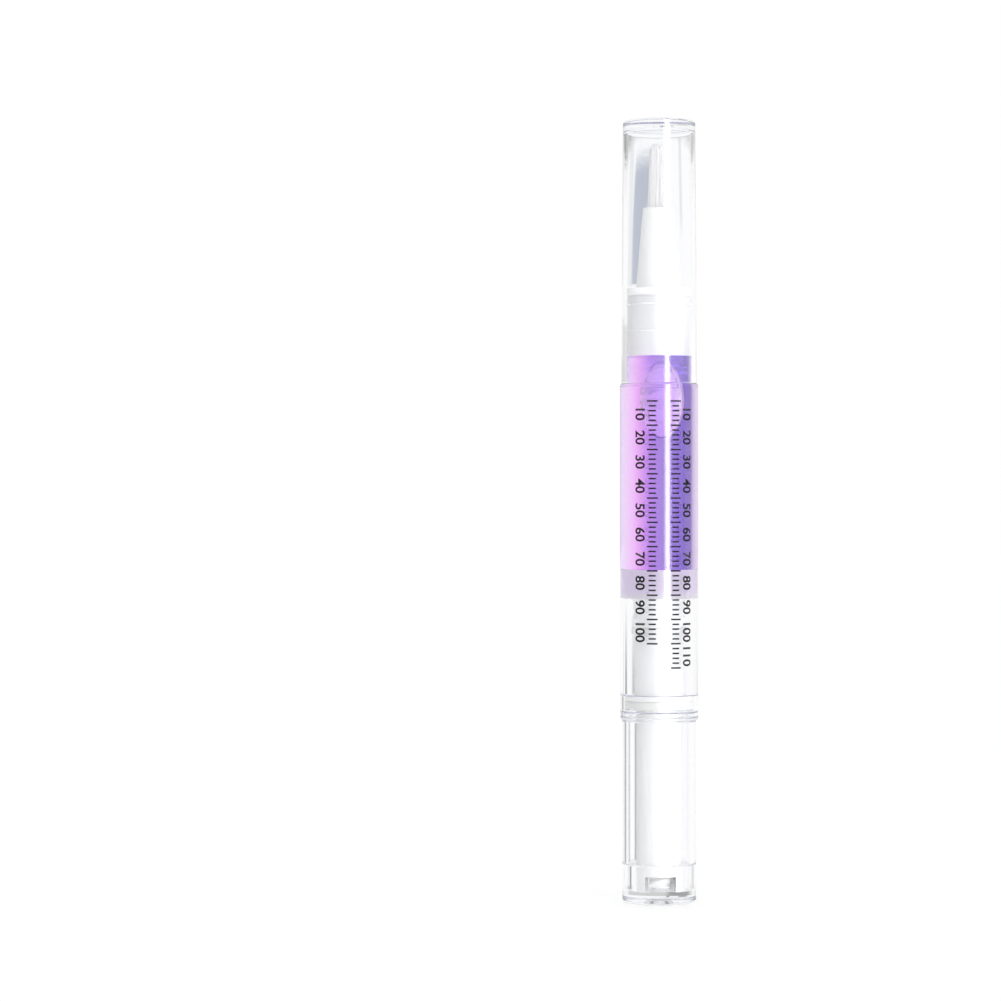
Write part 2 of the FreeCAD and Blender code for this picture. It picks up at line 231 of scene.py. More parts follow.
def make_moulded_skin():
    """Drifting tone, handling marks and fine unevenness of a moulded surface."""
    tree = new_tree(
        "moulded_skin", "ShaderNodeTree",
        [("Tone", "NodeSocketColor", (0.9, 0.9, 0.9, 1)), ("Shade", "NodeSocketColor", (0.8, 0.8, 0.8, 1)),
         ("Drift", "NodeSocketFloat", 90.0), ("Gloss", "NodeSocketFloat", 0.3),
         ("Spread", "NodeSocketFloat", 0.1), ("Marks", "NodeSocketFloat", 0.1)],
        [("Tone", "NodeSocketColor"), ("Roughness", "NodeSocketFloat"), ("Height", "NodeSocketFloat")])
    given = add(tree, "NodeGroupInput").outputs
    place = add(tree, "ShaderNodeTexCoord").outputs["Object"]
    drift = noise(tree, place, given["Drift"], 3.0)
    tone = blend(tree, drift, given["Tone"], given["Shade"])
    stretch, stroke_scale, grain_scale = (1.0, 1.0, 0.06), 2600.0, 900.0
    along = add(tree, "ShaderNodeMapping", {"Vector": place, "Scale": stretch}).outputs[0]
    marks = remap(tree, noise(tree, along, stroke_scale, 2.0), 0.62, 0.76)
    uneven = maths(tree, "MULTIPLY", maths(tree, "SUBTRACT", drift, 0.5), given["Spread"])
    roughness = maths(tree, "ADD", given["Gloss"], uneven)
    roughness = maths(tree, "MULTIPLY_ADD", marks, given["Marks"], roughness)
    roughness = add(tree, "ShaderNodeClamp", {"Value": roughness}).outputs[0]
    height = maths(tree, "MULTIPLY_ADD", drift, 2.0, noise(tree, place, grain_scale, 2.0))
    add(tree, "NodeGroupOutput", {"Tone": tone, "Roughness": roughness, "Height": height})
    return tree


moulded_skin = make_moulded_skin()


def new_finish(name):
    """Empty material and its node tree."""
    finish = bpy.data.materials.new(name)
    finish.use_nodes = True
    finish.node_tree.nodes.clear()
    return finish, finish.node_tree


def relief_of(tree, height, depth):
    """Normal of a bump whose depth is in millimetres."""
    bump = add(tree, "ShaderNodeBump", {"Height": height, "Strength": 1.0, "Distance": depth * MM})
    return bump.outputs[0]


def skin_of(tree, tone, shade, drift, gloss, spread, marks, relief):
    """Sockets for the Principled BSDF from the shared skin group, with its bump."""
    skin = add(tree, "ShaderNodeGroup", node_tree=moulded_skin)
    for key, value in zip(("Tone", "Shade", "Drift", "Gloss", "Spread", "Marks"),
                          ((*tone, 1), (*shade, 1), drift, gloss, spread, marks)):
        skin.inputs[key].default_value = value
    bump = relief_of(tree, skin.outputs["Height"], relief)
    return {"Base Color": skin.outputs["Tone"], "Roughness": skin.outputs["Roughness"], "Normal": bump}


def plastic(tree, sockets):
    """Principled surface as a material's output."""
    body = add(tree, "ShaderNodeBsdfPrincipled", sockets)
    add(tree, "ShaderNodeOutputMaterial", {"Surface": body.outputs[0]})


def passing_lamps(tree, body, shadow):
    """Surface of a clear body that casts only a tinted shadow."""
    lets_through = add(tree, "ShaderNodeBsdfTransparent", {"Color": (*shadow, 1)})
    is_shadow = add(tree, "ShaderNodeLightPath").outputs["Is Shadow Ray"]
    shaders = {0: is_shadow, 1: body.outputs[0], 2: lets_through.outputs[0]}
    return add(tree, "ShaderNodeMixShader", shaders).outputs[0]


def fill(tree, surface, absorbs, density):
    """Output with a surface and an even absorption behind it."""
    inside = add(tree, "ShaderNodeVolumeAbsorption", {"Color": (*absorbs, 1), "Density": density})
    add(tree, "ShaderNodeOutputMaterial", {"Surface": surface, "Volume": inside.outputs[0]})


def clear_finish(name, tone, shade, ior, gloss, relief, absorbs, density, shadow):
    """Clear plastic that lets the lamps through."""
    finish, tree = new_finish(name)
    links = skin_of(tree, tone, shade, 60.0, gloss, gloss, 2 * gloss, relief)
    body = add(tree, "ShaderNodeBsdfPrincipled", {**links, "IOR": ior, "Transmission Weight": 1.0})
    fill(tree, passing_lamps(tree, body, shadow), absorbs, density)
    return finish


def milky_finish(name, tone, shade, transmission, gloss):
    """Natural plastic that light soaks through."""
    finish, tree = new_finish(name)
    links = skin_of(tree, tone, shade, 150.0, gloss, 0.15, 0.1, 0.004)
    plastic(tree, {
        **links, "IOR": 1.49, "Transmission Weight": transmission, "Subsurface Weight": 0.25,
        "Subsurface Radius": (1.0, 0.95, 0.9), "Subsurface Scale": 0.8 * MM})
    return finish


def solid_finish(name, tone, shade, gloss, coat, relief=0.004):
    """Opaque moulded plastic."""
    finish, tree = new_finish(name)
    links = skin_of(tree, tone, shade, 130.0, gloss, 0.15, 0.12, relief)
    plastic(tree, {**links, "IOR": 1.5, "Coat Weight": coat, "Coat Roughness": 0.12})
    return finish


def bubble_film_light(tree, spot):
    """Share of the paler film of oil in front of the bubble, which is partly painted light."""
    middle, half = (bubble_high + bubble_low) / 2, (bubble_high - bubble_low) / 2
    side = maths(tree, "DIVIDE", maths(tree, "SUBTRACT", spot["X"], film_middle * MM), film_half * MM)
    up = maths(tree, "DIVIDE", maths(tree, "SUBTRACT", spot["Z"], middle * MM), half * MM)
    square = maths(tree, "MULTIPLY_ADD", side, side, maths(tree, "MULTIPLY", up, up))
    film = remap(tree, maths(tree, "SQRT", square), 0.95, 1.0, 0.92, 0.0)
    return maths(tree, "MULTIPLY", film, maths(tree, "LESS_THAN", spot["Y"], 0.0))


def oil_finish():
    """Violet oil with painted light and shade across it, pinker and lighter on its left side, tinted where
    light enters it.
    """
    finish, tree = new_finish("violet_oil")
    spot = object_spot(tree)
    across = maths(tree, "DIVIDE", spot["X"], (bore_radius + oil_skin) * MM)
    # Tones across the oil carry painted light and shade from its left side to its right
    oil_light_and_shade, pale = graded(tree, across, oil_painted_light_tones), graded(tree, across, film_light_tones)
    # Paler film over the bubble: partly thinner oil, partly painted light
    tone = blend(tree, bubble_film_light(tree, spot), oil_light_and_shade, pale)
    leaves = add(tree, "ShaderNodeNewGeometry").outputs["Backfacing"]
    tone = blend(tree, leaves, tone, (1, 1, 1, 1))
    body = add(tree, "ShaderNodeBsdfPrincipled", {
        "Base Color": tone, "Roughness": 0.0, "IOR": 1.46, "Transmission Weight": 1.0})
    fill(tree, passing_lamps(tree, body, (0.86, 0.76, 0.97)), (0.748, 0.02, 0.916), 71.4)
    return finish


def bubble_finish():
    """Soft inner face of the air bubble in the oil."""
    finish, tree = new_finish("bubble_skin")
    ripple = noise(tree, add(tree, "ShaderNodeTexCoord").outputs["Object"], 260.0, 1.0)
    tone = blend(tree, ripple, (0.97, 0.92, 1.0, 1), (0.90, 0.84, 0.98, 1))
    body = add(tree, "ShaderNodeBsdfPrincipled", {
        "Base Color": tone, "Roughness": 0.02, "IOR": 1.22, "Transmission Weight": 0.86, "Coat Weight": 0.5,
        "Coat Roughness": 0.03, "Normal": relief_of(tree, ripple, 0.01)})
    add(tree, "ShaderNodeOutputMaterial", {"Surface": passing_lamps(tree, body, (1, 1, 1))})
    return finish


def piston_finish():
    """Soft milky plastic that turns violet from about its cup floor upwards."""
    finish, tree = new_finish("milky_piston")
    links = skin_of(tree, (0.93, 0.93, 0.94), (0.88, 0.88, 0.90), 150.0, 0.28, 0.15, 0.1, 0.004)
    fade = 0.8
    height = object_spot(tree)["Z"]
    violet_share = remap(tree, height, (oil_cup_floor - fade) * MM, (oil_cup_floor + fade) * MM)
    tone = blend(tree, violet_share, links["Base Color"], (0.87, 0.77, 0.98, 1))
    plastic(tree, {
        **links, "Base Color": tone, "IOR": 1.49, "Transmission Weight": 0.05, "Subsurface Weight": 0.25,
        "Subsurface Radius": (1.0, 0.95, 1.0), "Subsurface Scale": 0.8 * MM})
    return finish


def bristle_finish():
    """Pale synthetic hair, a little darker towards its root."""
    finish, tree = new_finish("bristle_fibre")
    links = skin_of(tree, (0.93, 0.93, 0.935), (0.85, 0.85, 0.86), 700.0, 0.38, 0.2, 0.1, 0.002)
    up = remap(tree, object_spot(tree)["Z"], brush_rear * MM, brush_front * MM)
    tone = blend(tree, up, (0.84, 0.83, 0.84, 1), links["Base Color"])
    plastic(tree, {**links, "Base Color": tone, "IOR": 1.5, "Sheen Weight": 0.2})
    return finish


def ink_finish():
    """Black pad print with thin spots."""
    finish, tree = new_finish("black_print")
    links = skin_of(tree, (0.006, 0.006, 0.007), (0.03, 0.03, 0.033), 1500.0, 0.6, 0.3, 0.2, 0.003)
    plastic(tree, {**links, "IOR": 1.5, "Specular IOR Level": 0.15})
    return finish


clear_shell = clear_finish("clear_shell", (0.995, 0.997, 1.0), (0.98, 0.985, 0.995), 1.52, 0.006, 0.0012,
                           (0.80, 0.82, 0.86), 20.0, (0.995, 0.996, 0.998))
milky_plug = milky_finish("milky_plug", (0.96, 0.96, 0.965), (0.93, 0.93, 0.94), 0.0, 0.3)
milky_piston = piston_finish()
white_moulding = solid_finish("white_moulding", (0.87, 0.87, 0.872), (0.83, 0.83, 0.835), 0.36, 0.25)
screw_plastic = solid_finish("screw_plastic", (0.82, 0.82, 0.82), (0.74, 0.74, 0.74), 0.42, 0.1)
ratchet_plastic = solid_finish("ratchet_plastic", (0.80, 0.80, 0.79), (0.70, 0.70, 0.69), 0.45, 0.1)
tube_plastic = milky_finish("tube_plastic", (0.9, 0.9, 0.92), (0.8, 0.8, 0.83), 0.5, 0.25)
root_plastic = solid_finish("root_plastic", (0.76, 0.75, 0.74), (0.66, 0.65, 0.64), 0.5, 0.0, 0.02)
violet_oil = oil_finish()
bubble_skin = bubble_finish()
bristle_fibre = bristle_finish()
black_print = ink_finish()


# Geometry trees

def polar(tree, radius, angle, height):
    """Place at a radius, an angle and a height about the pen's axis."""
    return add(tree, "ShaderNodeCombineXYZ", {
        "X": maths(tree, "MULTIPLY", radius, maths(tree, "COSINE", angle)),
        "Y": maths(tree, "MULTIPLY", radius, maths(tree, "SINE", angle)),
        "Z": height}).outputs[0]


def end_tree(tree, geometry, finish, label):
    """Output of a geometry tree, as real geometry with one finish."""
    real = add(tree, "GeometryNodeRealizeInstances", {"Geometry": geometry}).outputs[0]
    done = add(tree, "GeometryNodeSetMaterial", {"Geometry": real, "Material": finish}).outputs[0]
    add(tree, "NodeGroupOutput", {label: done})
    return tree


def make_turning_tree():
    """Turns an outline of points (radius in X, height in Z) about the pen's axis."""
    tree = new_tree(
        "turned_piece", "GeometryNodeTree",
        [("Outline", "NodeSocketGeometry"), ("Facets", "NodeSocketInt", FACETS),
         ("Finish", "NodeSocketMaterial")],
        [("Piece", "NodeSocketGeometry")])
    given = add(tree, "NodeGroupInput").outputs
    counts = add(tree, "GeometryNodeAttributeDomainSize", {"Geometry": given["Outline"]}, component="MESH")
    rows = counts.outputs["Point Count"]
    columns = maths(tree, "ADD", given["Facets"], 1.0)
    sheet = add(tree, "GeometryNodeMeshGrid", {"Vertices X": rows, "Vertices Y": columns}).outputs["Mesh"]
    index = add(tree, "GeometryNodeInputIndex").outputs[0]
    row = maths(tree, "FLOOR", maths(tree, "DIVIDE", maths(tree, "ADD", index, 0.5), columns))
    column = maths(tree, "SUBTRACT", index, maths(tree, "MULTIPLY", row, columns))
    angle = maths(tree, "MULTIPLY", column, maths(tree, "DIVIDE", 2 * math.pi, given["Facets"]))
    position = add(tree, "GeometryNodeInputPosition").outputs[0]
    corner = add(tree, "GeometryNodeSampleIndex", {
        "Geometry": given["Outline"], "Value": position, "Index": row},
        data_type="FLOAT_VECTOR", domain="POINT")
    parts = add(tree, "ShaderNodeSeparateXYZ", {0: pick(corner.outputs, "Value")}).outputs
    place = polar(tree, parts["X"], angle, parts["Z"])
    turned = add(tree, "GeometryNodeSetPosition", {"Geometry": sheet, "Position": place}).outputs[0]
    closed = add(tree, "GeometryNodeMergeByDistance", {"Geometry": turned, "Distance": 2e-7}).outputs[0]
    smooth = add(tree, "GeometryNodeSetShadeSmooth", {0: closed}).outputs[0]
    return end_tree(tree, smooth, given["Finish"], "Piece")


def make_tuft_tree():
    """Seeded tuft of bristles round a tube, closing over it towards the tip."""
    tree = new_tree(
        "bristle_tuft", "GeometryNodeTree",
        [("Start", "NodeSocketGeometry"), ("Bristles", "NodeSocketInt", 420),
         *((label, "NodeSocketFloat") for label in (
             "Inner Radius", "Outer Radius", "Tip Radius", "Root Height", "Straight Height", "Tip Height",
             "Tip Round", "Hair Radius")),
         ("Seed", "NodeSocketInt", 7), ("Finish", "NodeSocketMaterial")],
        [("Tuft", "NodeSocketGeometry")])
    given = add(tree, "NodeGroupInput").outputs

    def chance(low, high, salt):
        seed = maths(tree, "ADD", given["Seed"], float(salt))
        limits = {"Min": low, "Max": high, "Seed": seed}
        node = add(tree, "FunctionNodeRandomValue", limits, data_type="FLOAT")
        return pick(node.outputs, "Value")

    def keep(geometry, name, value):
        return add(tree, "GeometryNodeStoreNamedAttribute", {
            "Geometry": geometry, "Name": name, "Value": value}, data_type="FLOAT", domain="POINT").outputs[0]

    def kept(name):
        node = add(tree, "GeometryNodeInputNamedAttribute", {"Name": name}, data_type="FLOAT")
        return pick(node.outputs, "Attribute")

    crowding, sway, shortest = 0.6, 0.12, 0.5 * MM
    spots = add(tree, "GeometryNodePoints", {"Count": given["Bristles"]}).outputs[0]
    spots = keep(spots, "share", maths(tree, "POWER", chance(0.0, 1.0, 1), crowding))
    spots = keep(spots, "turn", chance(0.0, 2 * math.pi, 2))
    spots = keep(spots, "lean", chance(-sway, sway, 3))
    spots = keep(spots, "short", chance(0.0, 1.0, 4))
    line = add(tree, "GeometryNodeCurvePrimitiveLine", {"End": (0.0, 0.0, 1.0)}).outputs[0]
    line = add(tree, "GeometryNodeResampleCurve", {"Curve": line, "Count": 9}).outputs[0]
    hairs = add(tree, "GeometryNodeInstanceOnPoints", {"Points": spots, "Instance": line}).outputs[0]
    hairs = add(tree, "GeometryNodeRealizeInstances", {"Geometry": hairs}).outputs[0]
    along = add(tree, "GeometryNodeSplineParameter").outputs["Factor"]
    share, turn = kept("share"), kept("turn")
    root_reach = remap(tree, share, 0.0, 1.0, given["Inner Radius"], given["Outer Radius"])
    tip_reach = maths(tree, "MULTIPLY", share, given["Tip Radius"])
    drop = maths(tree, "MULTIPLY", maths(tree, "POWER", share, 5.0), given["Tip Round"])
    drop = maths(tree, "MULTIPLY_ADD", maths(tree, "POWER", kept("short"), 3.0), shortest, drop)
    tip = maths(tree, "SUBTRACT", given["Tip Height"], drop)
    height = remap(tree, along, 0.0, 1.0, given["Root Height"], tip)
    close = remap(tree, height, given["Straight Height"], given["Tip Height"], kind="SMOOTHSTEP")
    radius = remap(tree, close, 0.0, 1.0, root_reach, tip_reach)
    angle = maths(tree, "MULTIPLY_ADD", along, kept("lean"), turn)
    place = polar(tree, radius, angle, height)
    hairs = add(tree, "GeometryNodeSetPosition", {"Geometry": hairs, "Position": place}).outputs[0]
    ring = add(tree, "GeometryNodeCurvePrimitiveCircle", {"Resolution": 5, "Radius": given["Hair Radius"]})
    hairs = add(tree, "GeometryNodeCurveToMesh", {
        "Curve": hairs, "Profile Curve": ring.outputs[0], "Fill Caps": True}).outputs[0]
    hairs = add(tree, "GeometryNodeSetShadeSmooth", {0: hairs}).outputs[0]
    return end_tree(tree, hairs, given["Finish"], "Tuft")


def make_tick_tree():
    """Column of printed marks wrapped on the barrel, each fifth one longer."""
    tree = new_tree(
        "scale_ticks", "GeometryNodeTree",
        [("Start", "NodeSocketGeometry"), ("Marks", "NodeSocketInt", 40), ("Pitch", "NodeSocketFloat"),
         ("Lowest", "NodeSocketFloat"), ("Barrel Radius", "NodeSocketFloat"), ("Angle", "NodeSocketFloat"),
         ("Width", "NodeSocketFloat"), ("Thickness", "NodeSocketFloat"), ("Finish", "NodeSocketMaterial")],
        [("Print", "NodeSocketGeometry")])
    given = add(tree, "NodeGroupInput").outputs
    step = add(tree, "ShaderNodeCombineXYZ", {"Z": given["Pitch"]}).outputs[0]
    first = add(tree, "ShaderNodeCombineXYZ", {"Z": given["Lowest"]}).outputs[0]
    column = add(tree, "GeometryNodeMeshLine", {
        "Count": given["Marks"], "Start Location": first, "Offset": step}).outputs[0]
    mark = add(tree, "GeometryNodeMeshGrid", {
        "Size X": given["Width"], "Size Y": given["Thickness"], "Vertices X": 7, "Vertices Y": 2})
    upright = (math.pi / 2, 0.0, 0.0)
    mark = add(tree, "GeometryNodeTransform", {
        "Geometry": mark.outputs["Mesh"], "Rotation": upright}).outputs[0]
    index = add(tree, "GeometryNodeInputIndex").outputs[0]
    is_fifth = maths(tree, "LESS_THAN", maths(tree, "MODULO", index, 5.0), 0.5)
    longer = maths(tree, "MULTIPLY_ADD", is_fifth, 0.5, 1.0)
    size = add(tree, "ShaderNodeCombineXYZ", {"X": longer, "Y": 1.0, "Z": 1.0}).outputs[0]
    marks = add(tree, "GeometryNodeInstanceOnPoints", {
        "Points": column, "Instance": mark, "Scale": size}).outputs[0]
    marks = add(tree, "GeometryNodeRealizeInstances", {"Geometry": marks}).outputs[0]
    position = add(tree, "GeometryNodeInputPosition").outputs[0]
    flat = add(tree, "ShaderNodeSeparateXYZ", {0: position}).outputs
    turn = maths(tree, "ADD", maths(tree, "DIVIDE", flat["X"], given["Barrel Radius"]), given["Angle"])
    place = polar(tree, given["Barrel Radius"], maths(tree, "SUBTRACT", turn, math.pi / 2), flat["Z"])
    marks = add(tree, "GeometryNodeSetPosition", {"Geometry": marks, "Position": place}).outputs[0]
    return end_tree(tree, marks, given["Finish"], "Print")


turning_tree = make_turning_tree()
tuft_tree = make_tuft_tree()
tick_tree = make_tick_tree()


# Meshes

def show(name, data):
    """Object at the origin that carries a mesh, a text, a lamp or a camera."""
    piece = bpy.data.objects.new(name, data)
    scene.collection.objects.link(piece)
    return piece


def plain_mesh(holder):
    """Evaluated mesh of an object, whose modifiers and own object go away."""
    made = bpy.data.meshes.new_from_object(holder.evaluated_get(bpy.context.evaluated_depsgraph_get()))
    bpy.data.objects.remove(holder)
    return made


def finished(mesh, finish):
    """Mesh with one finish all over."""
    mesh.materials.clear()
    mesh.materials.append(finish)
    for face in mesh.polygons:
        face.material_index = 0
    return mesh


def grow(tree, start, **sizes):
    """Plain mesh that a geometry tree makes from a start mesh, with its inputs given by name."""
    holder = show("growing", start)
    grower = holder.modifiers.new("grow", "NODES")
    grower.node_group = tree
    for socket in tree.interface.items_tree:
        key = socket.name.lower().replace(" ", "_")
        if socket.in_out == "INPUT" and key in sizes:
            grower[socket.identifier] = sizes[key]
    return finished(plain_mesh(holder), sizes["finish"])


def outline(corners, rounding, ring):
    """Points of a turned outline, from corners (radius, height, rounding if not the given one).

    Every corner is rounded, and straight runs are held flat near their ends.
    """
    hold = 0.12
    spots = [Vector((corner[0], 0.0, corner[1])) for corner in corners]
    count = len(spots)
    arcs = []
    for i, corner in enumerate(corners):
        on_axis_end = not ring and i in (0, count - 1)
        if on_axis_end:
            arcs.append([spots[i]])
            continue
        size = corner[2] if len(corner) > 2 else rounding
        back = spots[i - 1] - spots[i]
        ahead = spots[(i + 1) % count] - spots[i]
        half = back.angle(ahead) / 2
        reach = min(size / math.tan(half), 0.45 * back.length, 0.45 * ahead.length)
        start = spots[i] + back.normalized() * reach
        end = spots[i] + ahead.normalized() * reach
        steps = 3 if size <= 0.12 else 7
        shares = [k / steps for k in range(steps + 1)]
        arcs.append([start.lerp(spots[i], t).lerp(spots[i].lerp(end, t), t) for t in shares])
    points = []
    for i, arc in enumerate(arcs):
        points += arc
        following = arcs[(i + 1) % count][0]
        run = following - arc[-1]
        if (ring or i < count - 1) and run.length > 3 * hold:
            points.append(arc[-1] + run.normalized() * hold)
            points.append(following - run.normalized() * hold)
    if ring:
        points.append(points[0])
    return points


def outward(mesh):
    """Merges doubles and turns every face of a closed mesh outwards."""
    work = bmesh.new()
    work.from_mesh(mesh)
    bmesh.ops.remove_doubles(work, verts=work.verts, dist=1e-7)
    bmesh.ops.recalc_face_normals(work, faces=work.faces)
    work.to_mesh(mesh)
    work.free()
    return mesh


def turned_mesh(corners, finish, ring=True, rounding=0.08, facets=FACETS):
    """Closed mesh turned from outline corners."""
    points = outline(corners, rounding, ring)
    start = bpy.data.meshes.new("outline")
    start.from_pydata([point * MM for point in points], [], [])
    return outward(grow(turning_tree, start, facets=facets, finish=finish))


def oblong(low, high, half):
    """Corners from one X to another, as far on both sides of the X axis."""
    return [(low, -half), (high, -half), (high, half), (low, half)]


def prism_mesh(corners, low, high, finish):
    """Straight-sided closed mesh on a flat outline."""
    count = len(corners)
    verts = [Vector((x, y, z)) * MM for z in (low, high) for x, y in corners]
    faces = [list(range(count)), list(range(count, 2 * count))]
    faces += [(i, (i + 1) % count, count + (i + 1) % count, count + i) for i in range(count)]
    mesh = bpy.data.meshes.new("prism")
    mesh.from_pydata(verts, [], faces)
    mesh.materials.append(finish)
    return outward(mesh)


def combined(mesh, tools, operation, crease=32.0):
    """Mesh cut or joined with tool meshes, and creased again where it turns sharply."""
    holder = show("combining", mesh)
    helpers = []
    for tool in tools:
        helpers.append(show("tool", tool))
        cutter = holder.modifiers.new("combine", "BOOLEAN")
        cutter.operation = operation
        cutter.solver = "EXACT"
        cutter.object = helpers[-1]
    made = plain_mesh(holder)
    for helper in helpers:
        bpy.data.objects.remove(helper)
    outward(made)
    made.shade_smooth()
    made.set_sharp_from_angle(angle=math.radians(crease))
    return made


def place_piece(name, mesh, body, slot, *nodes):
    """Finished piece that rides on a body and stands for CAD nodes."""
    piece = show(name, mesh)
    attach(piece, body)
    if nodes:
        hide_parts(*nodes)
    return piece


def bead(base, crest, low, width, ramp):
    """Corners of a ring bead with sloped sides."""
    return [(base, low), (crest, low + ramp), (crest, low + ramp + width), (base, low + 2 * ramp + width)]


# Cap
cap_mesh = turned_mesh([
    (0, cap_top), (cap_top_radius, cap_top, 0.45), (cap_mouth_radius, cap_mouth, 0.15),
    (cap_grip_radius, cap_mouth, 0.12), (cap_grip_radius, cap_grip_top, 3.0),
    (cap_inner_radius, cap_inner_top, 0.45), (0, cap_inner_top)], clear_shell, ring=False)
place_piece("clear_cap", cap_mesh, "cap", "clear_shell", "cap")

# Barrel with its neck, cap bead, bore and mechanism seat
snap_lift, snap_ramp = 0.26, 0.18
snap_groove = bead(mechanism_radius, mechanism_radius + snap_lift, barrel_rear + 0.4, 0.7, snap_ramp)
grip_bead = bead(neck_radius, neck_radius + grip_bead_height / 2, grip_bead_low, 0.5, 0.5)
barrel_mesh = turned_mesh([
    (mechanism_radius, barrel_rear), (barrel_radius, barrel_rear, 0.3), (barrel_radius, cap_shoulder, 0.3),
    (neck_radius, cap_shoulder), *grip_bead, (neck_radius, neck_top), (bore_radius, neck_top),
    (bore_radius, mechanism_seat), (mechanism_radius, mechanism_seat), *reversed(snap_groove)], clear_shell)
place_piece("clear_barrel", barrel_mesh, "barrel", "clear_shell", "barrel")

# Tail knob with the two keys that hold the driver
recess_radius, recess_slope = 2.2, 0.6
recess_top = tail_base + 0.45
snap_bead = bead(spigot_radius, spigot_radius + snap_lift, barrel_rear + 0.5, 0.5, snap_ramp)
tail_mesh = turned_mesh([
    (0, recess_top), (recess_radius - recess_slope, recess_top, 0.3), (recess_radius, tail_base, 0.2),
    (tail_radius, tail_base, 0.45), (tail_radius, tail_shoulder, 0.15), (spigot_radius, tail_shoulder),
    *snap_bead, (spigot_radius, spigot_top, 0.15), (tail_inner_radius, spigot_top),
    (tail_inner_radius, tail_ledge, 0.25), (driver_socket_radius, tail_ledge, 0.12),
    (driver_socket_radius, tail_floor, 0.1), (0, tail_floor)], clear_shell, ring=False)
key_root = 0.2
key_spots = [drive_key_width * (k / 8 - 0.5) for k in range(9)]
key_corners = [(x, math.sqrt(driver_bore_radius ** 2 - x * x)) for x in key_spots]
key_corners += [(x, math.sqrt((driver_socket_radius + key_root) ** 2 - x * x)) for x in reversed(key_spots)]
keys = []
for side in (1, -1):
    corners = [(x, side * y) for x, y in key_corners]
    keys.append(prism_mesh(corners, tail_floor - key_root, drive_key_top, clear_shell))
place_piece("clear_tail_knob", combined(tail_mesh, keys, "UNION"), "tail", "clear_shell", "tail_knob")

# Driver sleeve with its end slots, keyed throat and the two splines that hold the click spring
driver_mesh = turned_mesh([
    (driver_bore_radius, driver_rear), (driver_radius, driver_rear, 0.12),
    (driver_radius, driver_shoulder, 0.2), (driver_neck_radius, driver_shoulder),
    (driver_neck_radius, driver_front, 0.2), (driver_bore_radius, driver_front)], white_moulding)
slot_half, slot_reach = drive_key_width / 2 + running_gap, 9
slot_corners = oblong(-slot_half, slot_half, slot_reach)
slot_mesh = prism_mesh(slot_corners, driver_rear - 1, drive_key_top + running_gap, white_moulding)
driver_mesh = combined(driver_mesh, [slot_mesh], "DIFFERENCE")
weld = 0.1
throat_length = 2.8
throat_reach = driver_bore_radius + weld
throat_arc = math.acos((screw_flat + running_gap) / throat_reach)
throat_turns = [throat_arc * (k / 6 - 1) for k in range(13)]
throat_corners = [(throat_reach * math.cos(turn), throat_reach * math.sin(turn)) for turn in throat_turns]
spline_root, spline_lift, spline_half = 0.3, 0.22, 0.45
spline_corners = oblong(driver_neck_radius - spline_root, driver_neck_radius + spline_lift, spline_half)
additions = []
for side in (1, -1):
    for corners, low, high in ((throat_corners, driver_front - throat_length, driver_front - weld),
                               (spline_corners, driver_shoulder - weld, spring_front)):
        additions.append(prism_mesh([(side * x, y) for x, y in corners], low, high, white_moulding))
driver_mesh = combined(driver_mesh, additions, "UNION")
place_piece("white_driver_sleeve", driver_mesh, "tail", "white_moulding", "driver_sleeve")

# Nut sleeve fixed in the barrel
nut_bore = screw_radius + running_gap
nut_skirt_bore = driver_neck_radius + running_gap
nut_collar_radius = bore_radius - press_gap
nut_shoulder, nut_collar, nut_thread_rear = nut_rear + nut_flange_height, nut_front - 1.0, nut_front - 4.0
nut_mesh = turned_mesh([
    (nut_skirt_bore, nut_rear), (nut_flange_radius, nut_rear, 0.1), (nut_flange_radius, nut_shoulder, 0.1),
    (nut_tube_radius, nut_shoulder, 0.15), (nut_tube_radius, nut_collar, 0.1),
    (nut_collar_radius, nut_collar, 0.1), (nut_collar_radius, nut_front, 0.15), (nut_bore, nut_front, 0.3),
    (nut_bore, nut_thread_rear), (nut_skirt_bore, nut_thread_rear)], white_moulding)
place_piece("white_nut_sleeve", nut_mesh, "barrel", "white_moulding", "nut_sleeve")

# Lead screw: a right-handed thread on a rod with two flats, and its barbed head
def thread_mesh():
    """Threaded rod with flats, closed at both ends by its rings."""
    depth, starts = 0.42, 2
    flank, crest = 2.6, 0.35
    taper, end_share = 0.5, 0.4
    around, per_lead = 72, 36
    rise = screw_shoulder - 0.01 - screw_rear
    rings = int(rise / thread_lead * per_lead)
    work = bmesh.new()
    rows = []
    for ring in range(rings + 1):
        z = screw_rear + rise * ring / rings
        end = min(1.0, min(z - screw_rear, screw_shoulder - z) / taper + end_share)
        row = []
        for step in range(around):
            turn = 2 * math.pi * step / around
            phase = (z / thread_lead - turn / (2 * math.pi)) * starts % 1.0
            ramp = min(1.0, max(0.0, flank * abs(phase - 0.5) - crest))
            radius = (screw_radius - depth * ramp * ramp * (3 - 2 * ramp)) * end
            x, y = radius * math.cos(turn), radius * math.sin(turn)
            row.append(work.verts.new(Vector((max(-screw_flat, min(screw_flat, x)), y, z)) * MM))
        rows.append(row)
    for low, high in zip(rows, rows[1:]):
        for i in range(around):
            j = (i + 1) % around
            work.faces.new((low[i], low[j], high[j], high[i]))
    work.faces.new(rows[0])
    work.faces.new(rows[-1])
    mesh = bpy.data.meshes.new("thread")
    work.to_mesh(mesh)
    work.free()
    mesh.materials.append(screw_plastic)
    outward(mesh)
    mesh.shade_smooth()
    mesh.set_sharp_from_angle(angle=math.radians(40))
    return mesh


